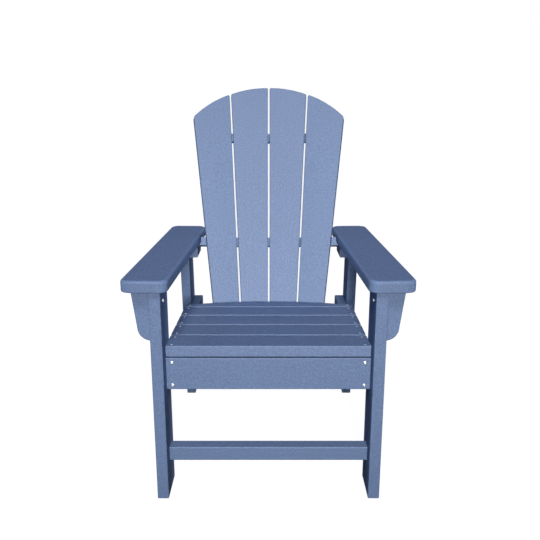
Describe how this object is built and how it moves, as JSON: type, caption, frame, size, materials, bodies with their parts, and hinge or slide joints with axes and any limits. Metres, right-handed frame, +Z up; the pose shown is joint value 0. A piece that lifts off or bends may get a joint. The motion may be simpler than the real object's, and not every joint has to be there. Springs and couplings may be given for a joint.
{
  "type": "adirondack chair",
  "caption": "Upright adirondack chair of blue poly lumber boards: slatted seat, hollowed fan back with a rounded crown, wide flat arms on brackets, raked rear legs.",
  "frame": {"origin": "on the floor, under the middle of the chair's bounding box", "axes": "+X to the right as seen from the front, -Y the way the sitter faces, +Z up"},
  "size_m": [0.7386, 0.7842, 1.0832],
  "materials": {
    "poly_lumber": "matte, fine grain",
    "fastener_steel": "brushed"
  },
  "bodies": {
    "root": {"apron_screws": "fastener_steel", "arm_back_rail": "poly_lumber", "arm_back_rail_screws": "fastener_steel", "arm_bracket_left": "poly_lumber", "arm_bracket_right": "poly_lumber", "arm_cleat_left": "poly_lumber", "arm_cleat_right": "poly_lumber", "arm_left": "poly_lumber", "arm_right": "poly_lumber", "back_slat_inner_left": "poly_lumber", "back_slat_inner_right": "poly_lumber", "back_slat_outer_left": "poly_lumber", "back_slat_outer_right": "poly_lumber", "bracket_screws": "fastener_steel", "cleat_screws": "fastener_steel", "front_apron": "poly_lumber", "front_arm_screws": "fastener_steel", "front_leg_left": "poly_lumber", "front_leg_right": "poly_lumber", "front_stretcher": "poly_lumber", "leg_bolts": "fastener_steel", "lower_back_rail": "poly_lumber", "lower_back_rail_screws": "fastener_steel", "lower_rail_end_screws": "fastener_steel", "rear_arm_screws": "fastener_steel", "rear_leg_left": "poly_lumber", "rear_leg_right": "poly_lumber", "seat_rail_left": "poly_lumber", "seat_rail_right": "poly_lumber", "seat_screws": "fastener_steel", "seat_slat_1": "poly_lumber", "seat_slat_2": "poly_lumber", "seat_slat_3": "poly_lumber", "seat_slat_4": "poly_lumber", "seat_slat_rear": "poly_lumber", "stretcher_screws": "fastener_steel", "top_back_batten": "poly_lumber", "top_back_batten_screws": "fastener_steel"}
  },
  "joints": []
}
